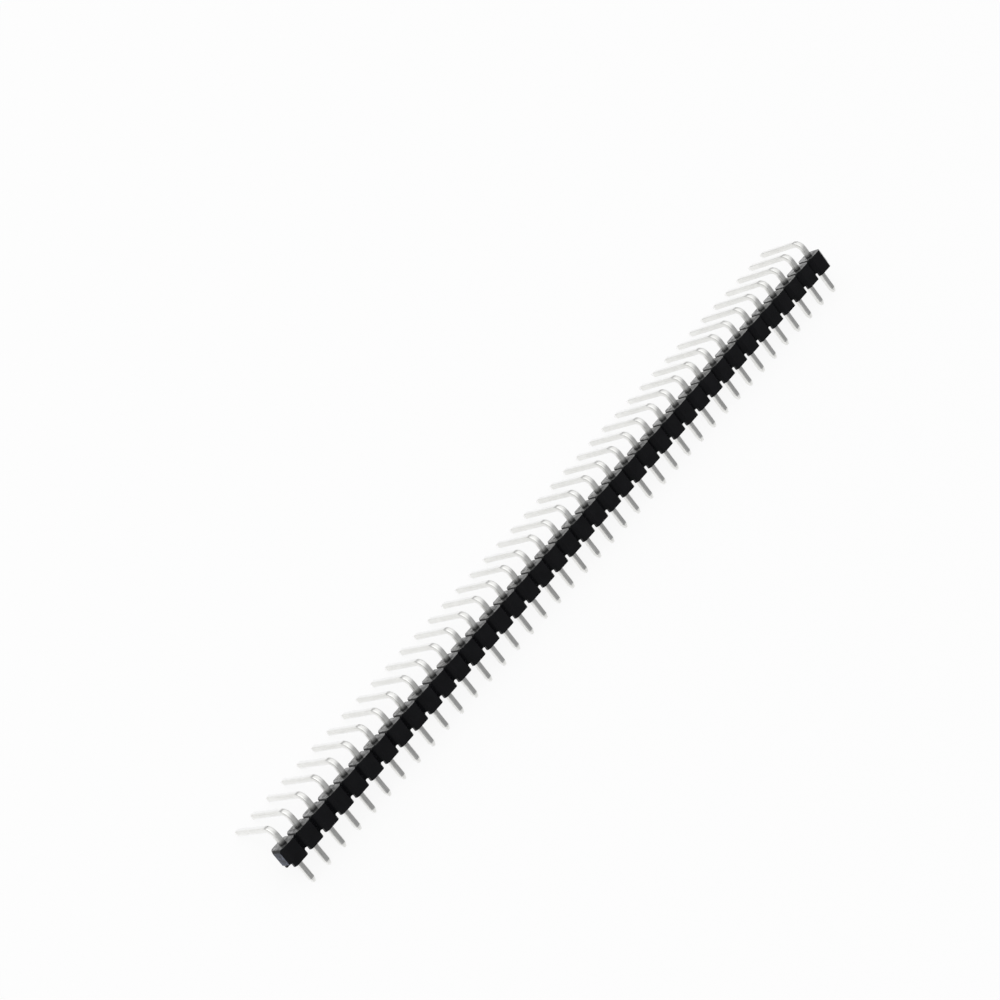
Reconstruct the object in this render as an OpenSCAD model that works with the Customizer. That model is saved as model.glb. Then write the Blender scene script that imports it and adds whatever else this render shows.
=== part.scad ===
// Right-angle pin header strip: one breakaway housing of octagonal cells with a row of bent square pins.
// It lies as it comes to rest, on its tail tips and its leg tips, with the row along X.

/* [Row] */
// Number of pins in the row
pin_count = 40; // [2:1:56]
// Distance from one pin to the next
pitch = 2.54; // [2.3:0.01:5.08]

/* [Housing] */
// Height of the housing along its bores
housing_h = 2.4; // [2:0.05:5]
// Thickness of the housing across the row
housing_t = 2.4; // [2:0.05:4]
// Corner cut of each octagonal cell, half of the break groove between two cells
cell_chamfer = 0.5; // [0.2:0.01:0.7]
// Depth of the channel in the tail side, which leaves the stand-off pads
channel_depth = 0.5; // [0.2:0.05:1.2]
// Width of that channel across the row
channel_w = 1.3; // [1:0.05:1.8]
// Length of each stand-off pad along the row
pad_len = 2; // [0.8:0.02:2.2]
// Width of the V-shaped snap line between two cells on the leg side
snap_w = 0.36; // [0.1:0.02:0.6]
// Depth of that snap line
snap_depth = 0.3; // [0.1:0.05:0.5]

/* [Pins] */
// Width of the square pin wire
pin_w = 0.64; // [0.4:0.01:0.8]
// Rolled corner of the pin wire
wire_corner = 0.06; // [0.02:0.01:0.12]
// Play between a pin and its bore, none where the pin is pressed in
bore_clearance = 0; // [0:0.01:0.1]
// Straight tail beyond the stand-off pads
tail_len = 2.9; // [1.5:0.1:15]
// Reach from the housing to the centre line of the leg
leg_reach = 1.95; // [1.4:0.05:8]
// Inner radius of the bend
bend_inner = 0.6; // [0.2:0.05:1]
// Length of the leg below the centre line of the row
leg_len = 7.1; // [3:0.1:15]
// Length of the coined point at both ends of a pin
point_len = 0.55; // [0.1:0.05:1]
// Width of the blunt end of a point
point_w = 0.34; // [0.1:0.02:0.38]

/* [Hidden] */
$fn = 48;
function pin_name(i) = str("pin_", i < 10 ? "0" : "", i);

row_len = pin_count * pitch;
bend_r = bend_inner + pin_w / 2;
leg_y = housing_h / 2 + leg_reach;
tail_y = -housing_h / 2 - tail_len;
over = 1;

// The tail tips and the leg tips touch the ground together at this lean about the row's axis.
tail_touch = [tail_y, -point_w / 2];
leg_touch = [leg_y - point_w / 2, -leg_len];
lean = atan2(tail_touch[1] - leg_touch[1], leg_touch[0] - tail_touch[0]);
function leaned_y(p) = p[0] * cos(lean) - p[1] * sin(lean);
function leaned_z(p) = p[0] * sin(lean) + p[1] * cos(lean);
back_y = leaned_y([tail_y, point_w / 2]);
front_y = leaned_y([leg_y + point_w / 2, -leg_len]);
ground_z = leaned_z(tail_touch);

// Stands the part on z = 0 with its bounding box centred in X and Y.
module at_rest() {
    translate([0, -(back_y + front_y) / 2, -ground_z])
        rotate([lean, 0, 0])
            children();
}

function pin_x(i) = (i - (pin_count + 1) / 2) * pitch;

// Lays a profile drawn in X and Z along Y, from y0 to y1.
module along_y(y0, y1) {
    translate([0, y1, 0])
        rotate([90, 0, 0])
            linear_extrude(y1 - y0)
                children();
}

// Outline of the whole row, seen along its bores: one octagon for each cell.
module row_outline() {
    w = pitch / 2;
    t = housing_t / 2;
    c = cell_chamfer;
    cell = [[-w, t - c], [c - w, t], [w - c, t]];
    cells = [for (i = [1:pin_count]) for (p = cell) [pin_x(i) + p[0], p[1]]];
    edge = concat(cells, [[row_len / 2, t - c]]);
    back = [for (k = [len(edge) - 1:-1:0]) [edge[k][0], -edge[k][1]]];
    polygon(concat(edge, back));
}

// Channel along the tail side, and the gaps that part its pads from one cell to the next.
module tail_side_cuts() {
    floor_y = channel_depth - housing_h / 2;
    translate([-row_len / 2 - over, -housing_h / 2 - over, -channel_w / 2])
        cube([row_len + 2 * over, channel_depth + over, channel_w]);
    gap = pitch - pad_len;
    for (i = [0:pin_count])
        along_y(-housing_h / 2 - over, floor_y)
            translate([pin_x(i) + pitch / 2, 0])
                square([gap, housing_t + 2 * over], center = true);
}

// V-shaped snap line across the leg side between each two cells, and half of one at each end.
module leg_side_cuts() {
    slope = snap_w / 2 / snap_depth;
    top = snap_w / 2 + over * slope;
    for (i = [0:pin_count])
        translate([pin_x(i) + pitch / 2, housing_h / 2, 0])
            linear_extrude(housing_t + 2 * over, center = true)
                polygon([[0, -snap_depth], [top, over], [-top, over]]);
}

module housing() {
    bore_w = pin_w + 2 * bore_clearance;
    color("#141519")
        at_rest()
            difference() {
                along_y(-housing_h / 2, housing_h / 2)
                    row_outline();
                tail_side_cuts();
                leg_side_cuts();
                for (i = [1:pin_count])
                    along_y(-housing_h / 2 - over, housing_h / 2 + over)
                        translate([pin_x(i), 0])
                            square(bore_w, center = true);
            }
}

// Section of the pin wire: a square with rolled corners.
module wire_section() {
    w = pin_w / 2;
    c = wire_corner;
    half = [[-w, c - w], [-w, w - c], [c - w, w], [w - c, w]];
    polygon(concat(half, -half));
}

// Straight wire along Y, flat at Y = 0 and coined to a blunt point at Y = -len.
module pointed_wire(len) {
    w = pin_w / 2;
    p = point_w / 2;
    side = [[-p, -len], [-w, point_len - len], [-w, 0], [w, 0], [w, point_len - len], [p, -len]];
    intersection() {
        along_y(-len, 0)
            wire_section();
        linear_extrude(pin_w, center = true)
            polygon(side);
        rotate([0, -90, 0])
            linear_extrude(pin_w, center = true)
                polygon(side);
    }
}

// Quarter bend from the tail wire, which ends at Y = 0, down to the leg.
module bend() {
    rotate([90, 0, 90])
        rotate_extrude(angle = 90)
            translate([bend_r, 0])
                wire_section();
}

module pin(i) {
    color("#c9c7bf")
        at_rest()
            translate([pin_x(i), leg_y - bend_r, 0]) {
                pointed_wire(leg_y - bend_r - tail_y);
                translate([0, 0, -bend_r]) {
                    bend();
                    translate([0, bend_r, 0])
                        rotate([90, 0, 0])
                            pointed_wire(leg_len - bend_r);
                }
            }
}

housing();
for (i = [1:pin_count])
    pin(i);
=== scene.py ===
"""Looks of a right-angle pin header strip: a black moulded housing and forty bent, plated pins."""
import math
import random

import bmesh
import bpy
from mathutils import Matrix, Vector


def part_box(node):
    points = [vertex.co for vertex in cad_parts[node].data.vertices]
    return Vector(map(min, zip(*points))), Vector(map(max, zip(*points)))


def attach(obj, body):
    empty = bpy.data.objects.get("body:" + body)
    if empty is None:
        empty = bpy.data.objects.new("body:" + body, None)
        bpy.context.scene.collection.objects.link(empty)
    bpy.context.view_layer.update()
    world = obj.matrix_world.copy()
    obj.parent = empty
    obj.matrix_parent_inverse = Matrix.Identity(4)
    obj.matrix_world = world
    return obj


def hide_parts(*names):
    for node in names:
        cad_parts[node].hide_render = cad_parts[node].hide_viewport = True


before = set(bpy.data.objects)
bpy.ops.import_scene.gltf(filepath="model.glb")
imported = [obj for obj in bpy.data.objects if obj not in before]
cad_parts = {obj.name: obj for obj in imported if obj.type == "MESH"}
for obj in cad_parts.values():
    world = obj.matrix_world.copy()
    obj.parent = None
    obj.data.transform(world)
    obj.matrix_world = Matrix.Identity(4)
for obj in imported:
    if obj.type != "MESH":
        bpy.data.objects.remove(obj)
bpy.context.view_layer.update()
MM = 0.001
PINS = sorted(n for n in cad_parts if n.startswith("pin_"))

# ---------------------------------------------------------------- sizes, as in the part's source, in mm
PITCH = 2.54
HOUSING_H = 2.4
PIN_W = 0.64
TAIL_LEN = 2.9
LEG_REACH = 1.95
LEG_LEN = 7.1
BEND_INNER = 0.6
POINT_LEN = 0.55
POINT_W = 0.34

ROW_END = len(PINS) * PITCH / 2
LEG_FACE = HOUSING_H / 2
BEND_R = BEND_INNER + PIN_W / 2
LEG_Y = LEG_FACE + LEG_REACH
TAIL_Y = -HOUSING_H / 2 - TAIL_LEN
BEND_Y = LEG_Y - BEND_R

# The wire from the tail tip to the leg tip: straight to the bend, a quarter turn, then the leg.
TO_BEND = BEND_Y - TAIL_Y
BEND_ARC = math.pi / 2 * BEND_R
LEG_STRAIGHT = LEG_LEN - BEND_R
WIRE_LEN = TO_BEND + BEND_ARC + LEG_STRAIGHT

# ---------------------------------------------------------------- sizes that only the looks have, in mm
WIRE_CORNER_R = 0.16
HOUSING_EDGE_R = 0.045
LEG_SWAY_X, LEG_SWAY_Y = 0.025, 0.02
CORNER_STEPS, BEND_STEPS = 4, 16
DULL_RING_Z, DULL_RING_INNER, DULL_RING_OUTER = 0.3, 0.42, 0.85

# The strip lies on its tail tips and its leg tips, so its own axes lean about X.
LEAN = math.atan2(LEG_LEN - POINT_W / 2, LEG_Y - POINT_W / 2 - TAIL_Y)


def leaned(y, z):
    """That point of the strip's own section, turned to how the strip lies."""
    return y * math.cos(LEAN) - z * math.sin(LEAN), y * math.sin(LEAN) + z * math.cos(LEAN)


BACK = leaned(TAIL_Y, POINT_W / 2)[0]
FRONT = leaned(LEG_Y + POINT_W / 2, -LEG_LEN)[0]
GROUND = leaned(TAIL_Y, -POINT_W / 2)[1]
TO_REST = Matrix.Translation((0, -(BACK + FRONT) / 2 * MM, -GROUND * MM))
REST = TO_REST @ Matrix.Rotation(LEAN, 4, "X")


# ---------------------------------------------------------------- node helpers
def new_material(name):
    """A material with one Principled shader, as (material, its node tree, the shader)."""
    m = bpy.data.materials.new(name)
    m.use_nodes = True
    t = m.node_tree
    t.nodes.clear()
    out = t.nodes.new("ShaderNodeOutputMaterial")
    shader = t.nodes.new("ShaderNodeBsdfPrincipled")
    t.links.new(shader.outputs[0], out.inputs["Surface"])
    return m, t, shader


def math_node(t, op, a, b=None, clamp=False):
    """Output of a math node, whose inputs are numbers or other nodes' outputs."""
    n = t.nodes.new("ShaderNodeMath")
    n.operation = op
    n.use_clamp = clamp
    for i, v in enumerate((a, b)):
        if v is None:
            continue
        if isinstance(v, (int, float)):
            n.inputs[i].default_value = v
        else:
            t.links.new(v, n.inputs[i])
    return n.outputs[0]


def hypotenuse(t, a, b):
    a2, b2 = math_node(t, "MULTIPLY", a, a), math_node(t, "MULTIPLY", b, b)
    return math_node(t, "SQRT", math_node(t, "ADD", a2, b2))


def strip_coordinates(t):
    """Coordinates in mm along the strip's own axes: X along the row, Y along the bores, Z across."""
    where = t.nodes.new("ShaderNodeTexCoord").outputs["Object"]
    m = t.nodes.new("ShaderNodeMapping")
    m.vector_type = "TEXTURE"
    m.inputs["Location"].default_value = REST.to_translation()
    m.inputs["Rotation"].default_value = REST.to_euler()
    m.inputs["Scale"].default_value = (MM, MM, MM)
    t.links.new(where, m.inputs["Vector"])
    return m.outputs[0]


def separate(t, vector):
    n = t.nodes.new("ShaderNodeSeparateXYZ")
    t.links.new(vector, n.inputs[0])
    return n.outputs


def combine(t, x, y, z):
    n = t.nodes.new("ShaderNodeCombineXYZ")
    for socket, v in zip(n.inputs, (x, y, z)):
        t.links.new(v, socket)
    return n.outputs[0]


def noise(t, vector, scale, detail, rough=0.5):
    n = t.nodes.new("ShaderNodeTexNoise")
    n.inputs["Scale"].default_value = scale
    n.inputs["Detail"].default_value = detail
    n.inputs["Roughness"].default_value = rough
    t.links.new(vector, n.inputs["Vector"])
    return n.outputs["Fac"]


def ramp(t, fac, *stops):
    """Colour ramp over stops of (position, colour), where a lone number is a grey."""
    n = t.nodes.new("ShaderNodeValToRGB")
    r = n.color_ramp
    while len(r.elements) < len(stops):
        r.elements.new(0.5)
    for e, (at, colour) in zip(r.elements, stops):
        e.position = at
        e.color = (*colour, 1) if isinstance(colour, tuple) else (colour, colour, colour, 1)
    t.links.new(fac, n.inputs[0])
    return n.outputs[0]


def span(t, fac, low, high, start, end):
    """Goes from low to high while fac goes from start to end, and stays level outside them."""
    n = t.nodes.new("ShaderNodeMapRange")
    n.inputs["From Min"].default_value = start
    n.inputs["From Max"].default_value = end
    n.inputs["To Min"].default_value = low
    n.inputs["To Max"].default_value = high
    t.links.new(fac, n.inputs[0])
    return n.outputs[0]


def bump(t, height, distance, strength, below=None):
    n = t.nodes.new("ShaderNodeBump")
    n.inputs["Strength"].default_value = strength
    n.inputs["Distance"].default_value = distance
    t.links.new(height, n.inputs["Height"])
    if below:
        t.links.new(below, n.inputs["Normal"])
    return n.outputs[0]


def blend(t, fac, a, b):
    """Colour a where fac is 0 and colour b where it is 1."""
    n = t.nodes.new("ShaderNodeMix")
    n.data_type = "RGBA"
    for socket, v in ((n.inputs[0], fac), (n.inputs[6], a), (n.inputs[7], b)):
        t.links.new(v, socket)
    return n.outputs[2]


def multiply(t, a, b):
    n = t.nodes.new("ShaderNodeMix")
    n.data_type = "RGBA"
    n.blend_type = "MULTIPLY"
    n.inputs[0].default_value = 1.0
    t.links.new(a, n.inputs[6])
    t.links.new(b, n.inputs[7])
    return n.outputs[2]


# ---------------------------------------------------------------- materials
def leg_face_gloss(t, at, x, z):
    """Gloss of the face the legs leave by: dull round each pin, and mottled all over."""
    beside = math_node(t, "SUBTRACT", math_node(t, "FLOORED_MODULO", x, PITCH), PITCH / 2)
    above = math_node(t, "SUBTRACT", z, DULL_RING_Z)
    ring = span(t, hypotenuse(t, beside, above), 0.2, 0.7, DULL_RING_INNER, DULL_RING_OUTER)
    mottle = span(t, noise(t, at, 2.3, 3, 0.6), 0.22, 1.5, 0.38, 0.62)
    return math_node(t, "MULTIPLY", ring, mottle)


def black_plastic():
    """Black moulding, glossiest on the leg face. Its broken ends are dull and uneven, and paler: partly
    the broken plastic, partly painted light for the light the end face catches.
    """
    m, t, s = new_material("housing_plastic")
    at = strip_coordinates(t)
    x, y, z = separate(t, at)
    on_end = span(t, math_node(t, "ABSOLUTE", x), 0, 1, ROW_END - 0.03, ROW_END - 0.01)
    on_leg_face = span(t, y, 0, 1, LEG_FACE - 0.06, LEG_FACE - 0.03)

    clouds = noise(t, at, 0.7, 4)
    grain = noise(t, at, 9, 3, 0.55)
    toward_tails = span(t, y, 0.08, -0.08, -HOUSING_H / 2, HOUSING_H / 2)
    torn = math_node(t, "ADD", noise(t, at, 2.6, 5, 0.62), toward_tails)

    skin = ramp(t, clouds, (0.3, (0.0048, 0.0049, 0.0057)), (0.75, (0.0078, 0.0079, 0.0091)))
    # The ends' paler colour is partly broken plastic and partly painted light that the end face
    # catches.
    end_colour_and_painted_light = ramp(t, torn, (0.32, (0.013, 0.014, 0.018)), (0.5, (0.077, 0.084, 0.108)),
                   (0.68, (0.175, 0.19, 0.235)))
    t.links.new(blend(t, on_end, skin, end_colour_and_painted_light), s.inputs["Base Color"])

    skin_rough = span(t, grain, 0.12, 0.19, 0.3, 0.7)
    snapped_rough = span(t, torn, 0.35, 0.6, 0.3, 0.7)
    t.links.new(blend(t, on_end, skin_rough, snapped_rough), s.inputs["Roughness"])

    # The leg face has a glossy coat, which fades towards its upper edge.
    gloss = leg_face_gloss(t, at, x, z)
    coat = math_node(t, "MULTIPLY", gloss, span(t, z, 1.5, 0.0, -1.0, 0.7))
    coat = math_node(t, "MULTIPLY", on_leg_face, coat, clamp=True)
    t.links.new(coat, s.inputs["Coat Weight"])
    s.inputs["Coat Roughness"].default_value = 0.1

    skin_level = 0.17
    extra = math_node(t, "MULTIPLY", on_leg_face, math_node(t, "SUBTRACT", gloss, skin_level))
    t.links.new(math_node(t, "ADD", extra, skin_level), s.inputs["Specular IOR Level"])
    s.inputs["IOR"].default_value = 1.5

    fine = bump(t, grain, 0.004 * MM, 0.5)
    soft = bump(t, clouds, 0.03 * MM, 0.5, fine)
    rough = bump(t, math_node(t, "MULTIPLY", torn, on_end), 0.09 * MM, 0.7, soft)
    t.links.new(rough, s.inputs["Normal"])
    return m


def along_wire(t, x, y, z):
    """Coordinates that follow the wire round its bend, stretched along it."""
    past_y = math_node(t, "MAXIMUM", math_node(t, "SUBTRACT", y, BEND_Y), 0.0)
    past_z = math_node(t, "MAXIMUM", math_node(t, "ADD", z, BEND_R), 0.0)
    across = math_node(t, "SUBTRACT", hypotenuse(t, past_y, past_z), BEND_R)
    along = math_node(t, "MULTIPLY", math_node(t, "SUBTRACT", y, z), 0.05)
    return combine(t, x, across, along)


def plated_wire():
    """Tin plate with streaks along the wire, painted whiter as a sheen where seen edge on. Its stub is
    scuffed, with painted shade at the housing.
    """
    m, t, s = new_material("pin_tin_plate")
    at = strip_coordinates(t)
    x, y, z = separate(t, at)
    streaks = noise(t, along_wire(t, x, y, z), 9, 4, 0.65)
    patches = noise(t, at, 1.1, 3)
    shares = math_node(t, "MULTIPLY", streaks, 0.6), math_node(t, "MULTIPLY", patches, 0.4)
    tint = math_node(t, "ADD", *shares)

    # Painted sheen: whiter where it is seen edge on. Painted shade: dark over the first half millimetre
    # of the stub.
    plate = ramp(t, tint, (0.3, (0.76, 0.757, 0.735)), (0.7, (0.92, 0.919, 0.90)))
    facing = t.nodes.new("ShaderNodeLayerWeight")
    facing.inputs["Blend"].default_value = 0.5
    painted_edge_sheen = span(t, facing.outputs["Facing"], 0, 0.9, 0.57, 0.72)
    plate = blend(t, painted_edge_sheen, plate, ramp(t, tint, (0.3, 0.95), (0.7, 0.99)))
    # Painted shade darkens the stub's foot next to the housing.
    from_housing = span(t, y, 0, 1, LEG_FACE - 0.1, LEG_FACE + 0.5)
    painted_foot_shade = ramp(t, from_housing, (0.0, 1.0), (0.12, 0.15), (0.3, 0.22), (1.0, 1.0))
    t.links.new(multiply(t, plate, painted_foot_shade), s.inputs["Base Color"])
    s.inputs["Metallic"].default_value = 1.0

    # The stub is rougher than the tail, and that fades early in the bend.
    past_housing = span(t, y, 0, 0.27, 0, LEG_FACE)
    scuffed = math_node(t, "MULTIPLY", past_housing, span(t, y, 1, 0, BEND_Y, BEND_Y + 0.3))
    rough = math_node(t, "ADD", span(t, streaks, 0.25, 0.35, 0.25, 0.75), scuffed)
    t.links.new(rough, s.inputs["Roughness"])
    t.links.new(bump(t, streaks, 0.01 * MM, 0.5), s.inputs["Normal"])
    return m


# ---------------------------------------------------------------- pins
def wire_ring(half, radius):
    """A square of that half width with rounded corners, as points across the wire."""
    points = []
    inset = half - radius
    for corner in range(4):
        turn = math.radians(90 * corner)
        for k in range(CORNER_STEPS + 1):
            a = math.radians(90 * k / CORNER_STEPS)
            px, pz = inset + radius * math.cos(a), inset + radius * math.sin(a)
            points.append((px * math.cos(turn) - pz * math.sin(turn),
                           px * math.sin(turn) + pz * math.cos(turn)))
    return points


def pin_stations():
    """(distance along the wire, half width, corner radius) from the tail tip to the leg tip."""
    w, p = PIN_W / 2, POINT_W / 2
    tip = [(0.0, p * 0.62, 0.05), (0.012, p * 0.86, 0.06), (0.045, p, 0.06),
           (0.25, p + (w - p) * 0.42, 0.09), (POINT_LEN - 0.07, w - 0.018, 0.12),
           (POINT_LEN, w - 0.004, 0.13), (POINT_LEN + 0.07, w, WIRE_CORNER_R)]
    places = [TO_BEND * f for f in (0.3, 0.5, 0.7, 0.85)]
    places += [TO_BEND + BEND_ARC * k / BEND_STEPS for k in range(BEND_STEPS + 1)]
    places += [TO_BEND + BEND_ARC + LEG_STRAIGHT * f for f in (0.2, 0.4, 0.6, 0.8)]
    middle = [(s, w, WIRE_CORNER_R) for s in places]
    return tip + middle + [(WIRE_LEN - s, half, r) for s, half, r in reversed(tip)]


def on_wire(s):
    """Place and across-direction of the wire's centre line at that distance from the tail tip."""
    if s <= TO_BEND:
        return Vector((0, TAIL_Y + s, 0)), Vector((0, 0, 1))
    if s <= TO_BEND + BEND_ARC:
        a = (s - TO_BEND) / BEND_R
        out = Vector((0, math.sin(a), math.cos(a)))
        return Vector((0, BEND_Y, -BEND_R)) + out * BEND_R, out
    return Vector((0, LEG_Y, -BEND_R - (s - TO_BEND - BEND_ARC))), Vector((0, 1, 0))


def pin(name, material, dice):
    """One bent wire in place of its CAD pin. Its leg sways a little from true."""
    low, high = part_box(name)
    x = (low.x + high.x) / 2 / MM
    bm = bmesh.new()
    rings = []
    sway = Vector((dice.uniform(-1, 1) * LEG_SWAY_X, dice.uniform(-1, 1) * LEG_SWAY_Y, 0))
    for s, half, radius in pin_stations():
        centre, out = on_wire(s)
        hang = max(0.0, -BEND_R - centre.z) / LEG_LEN
        centre = centre + sway * hang
        ring = [((x + centre.x + a) * MM, (centre.y + out.y * b) * MM, (centre.z + out.z * b) * MM)
                for a, b in wire_ring(half, radius)]
        rings.append([bm.verts.new(REST @ Vector(point)) for point in ring])
    count = len(rings[0])
    for near, far in zip(rings, rings[1:]):
        for k in range(count):
            after = (k + 1) % count
            bm.faces.new((near[k], near[after], far[after], far[k]))
    bm.faces.new(list(reversed(rings[0])))
    bm.faces.new(rings[-1])
    bmesh.ops.recalc_face_normals(bm, faces=bm.faces)

    mesh = bpy.data.meshes.new("wire_" + name)
    bm.to_mesh(mesh)
    bm.free()
    for face in mesh.polygons:
        face.use_smooth = len(face.vertices) == 4
    mesh.materials.append(material)
    o = bpy.data.objects.new("wire_" + name, mesh)
    bpy.context.scene.collection.objects.link(o)
    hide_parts(name)
    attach(o, "root")


def pins():
    tin = plated_wire()
    dice = random.Random(40)
    for name in PINS:
        pin(name, tin, dice)


# ---------------------------------------------------------------- housing
def housing():
    """The CAD housing in black plastic, with its edges softened."""
    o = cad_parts["housing"]
    o.data.materials.clear()
    o.data.materials.append(black_plastic())
    edge = o.modifiers.new("soft_edges", "BEVEL")
    edge.width = HOUSING_EDGE_R * MM
    edge.segments = 3
    edge.limit_method = "ANGLE"
    edge.angle_limit = math.radians(25)
    edge.harden_normals = True


# ---------------------------------------------------------------- floor, light, camera, in metres
FLOOR_HALF = 1.5
FLOOR_ALBEDO = (0.9, 0.9, 0.9, 1)
FLOOR_WHITE = 0.89

WORLD_COLOUR, WORLD_STRENGTH = (0.98, 0.985, 1.0, 1), 0.3
ROOF_FRONTS = (-1.2, -0.8, -0.4, 0.0)
ROOF_LEFT, ROOF_RIGHT, ROOF_BACK = -1.5, 2.4, 3.4
ROOF_Z, ROOF_RISE, ROOF_RADIANCE = 1.2, 0.03, 0.19
LEFT_BOX_LOW, LEFT_BOX_HIGH, LEFT_BOX_RADIANCE = (-1.85, -1.8), (-0.15, 2.4), 0.6

CAMERA_LENS, CAMERA_ROLL = 113, -1.55
CAMERA_EYE = Vector((-0.17473, -0.12375, 0.26921))
CAMERA_AIM = Vector((-0.0003, 0.00718, 0.003))


def floor():
    """White table: lit and shaded by the lamps, and near white to the camera and in reflections."""
    bm = bmesh.new()
    bmesh.ops.create_grid(bm, x_segments=8, y_segments=8, size=FLOOR_HALF)
    mesh = bpy.data.meshes.new("floor")
    bm.to_mesh(mesh)
    bm.free()
    o = bpy.data.objects.new("floor", mesh)
    bpy.context.scene.collection.objects.link(o)

    m, t, s = new_material("floor_white")
    s.inputs["Base Color"].default_value = FLOOR_ALBEDO
    s.inputs["Roughness"].default_value = 0.9
    s.inputs["Specular IOR Level"].default_value = 0.1
    path = t.nodes.new("ShaderNodeLightPath")
    seen = math_node(t, "MAXIMUM", path.outputs["Is Camera Ray"], path.outputs["Is Glossy Ray"])
    glow = t.nodes.new("ShaderNodeEmission")
    glow.inputs["Color"].default_value = (1, 1, 1, 1)
    mix = t.nodes.new("ShaderNodeMixShader")
    t.links.new(math_node(t, "MULTIPLY", seen, FLOOR_WHITE), mix.inputs[0])
    t.links.new(s.outputs[0], mix.inputs[1])
    t.links.new(glow.outputs[0], mix.inputs[2])
    out = next(n for n in t.nodes if n.type == "OUTPUT_MATERIAL")
    t.links.new(mix.outputs[0], out.inputs["Surface"])
    mesh.materials.append(m)


def soft_box(name, low, high, z, radiance):
    """Level soft box at that height, from one corner to the other, that shines down."""
    lamp = bpy.data.lights.new(name, "AREA")
    lamp.shape = "RECTANGLE"
    lamp.size, lamp.size_y = high[0] - low[0], high[1] - low[1]
    lamp.energy = radiance * math.pi * lamp.size * lamp.size_y
    o = bpy.data.objects.new(name, lamp)
    o.location = ((low[0] + high[0]) / 2, (low[1] + high[1]) / 2, z)
    bpy.context.scene.collection.objects.link(o)


def studio():
    """A light tent that is dim low down in front, on the right, where the upper faces mirror it.

    The roof panels lie one above the other, so that each adds its light to the one below,
    and the roof fades towards the front.
    """
    world = bpy.data.worlds.new("studio")
    bpy.context.scene.world = world
    world.use_nodes = True
    background = world.node_tree.nodes["Background"]
    background.inputs["Color"].default_value = WORLD_COLOUR
    background.inputs["Strength"].default_value = WORLD_STRENGTH
    for k, front in enumerate(ROOF_FRONTS):
        soft_box("roof_%d" % k, (ROOF_LEFT, front), (ROOF_RIGHT, ROOF_BACK),
                 ROOF_Z + ROOF_RISE * k, ROOF_RADIANCE)
    above_roof = ROOF_Z + ROOF_RISE * len(ROOF_FRONTS)
    soft_box("roof_left", LEFT_BOX_LOW, LEFT_BOX_HIGH, above_roof, LEFT_BOX_RADIANCE)


def camera():
    """The photo's view, solved against the pitch of the row."""
    cam = bpy.data.cameras.new("camera")
    cam.sensor_width = 36
    cam.lens = CAMERA_LENS
    cam.clip_start = 0.01
    cam.clip_end = 10
    o = bpy.data.objects.new("camera", cam)
    roll = Matrix.Rotation(math.radians(CAMERA_ROLL), 3, "Z").to_quaternion()
    look = (CAMERA_AIM - CAMERA_EYE).to_track_quat("-Z", "Y")
    o.rotation_euler = (look @ roll).to_euler()
    o.location = CAMERA_EYE
    bpy.context.scene.collection.objects.link(o)
    bpy.context.scene.camera = o


housing()
pins()
floor()
studio()
camera()
bpy.context.scene.view_settings.view_transform = "Standard"

bpy.context.view_layer.update()
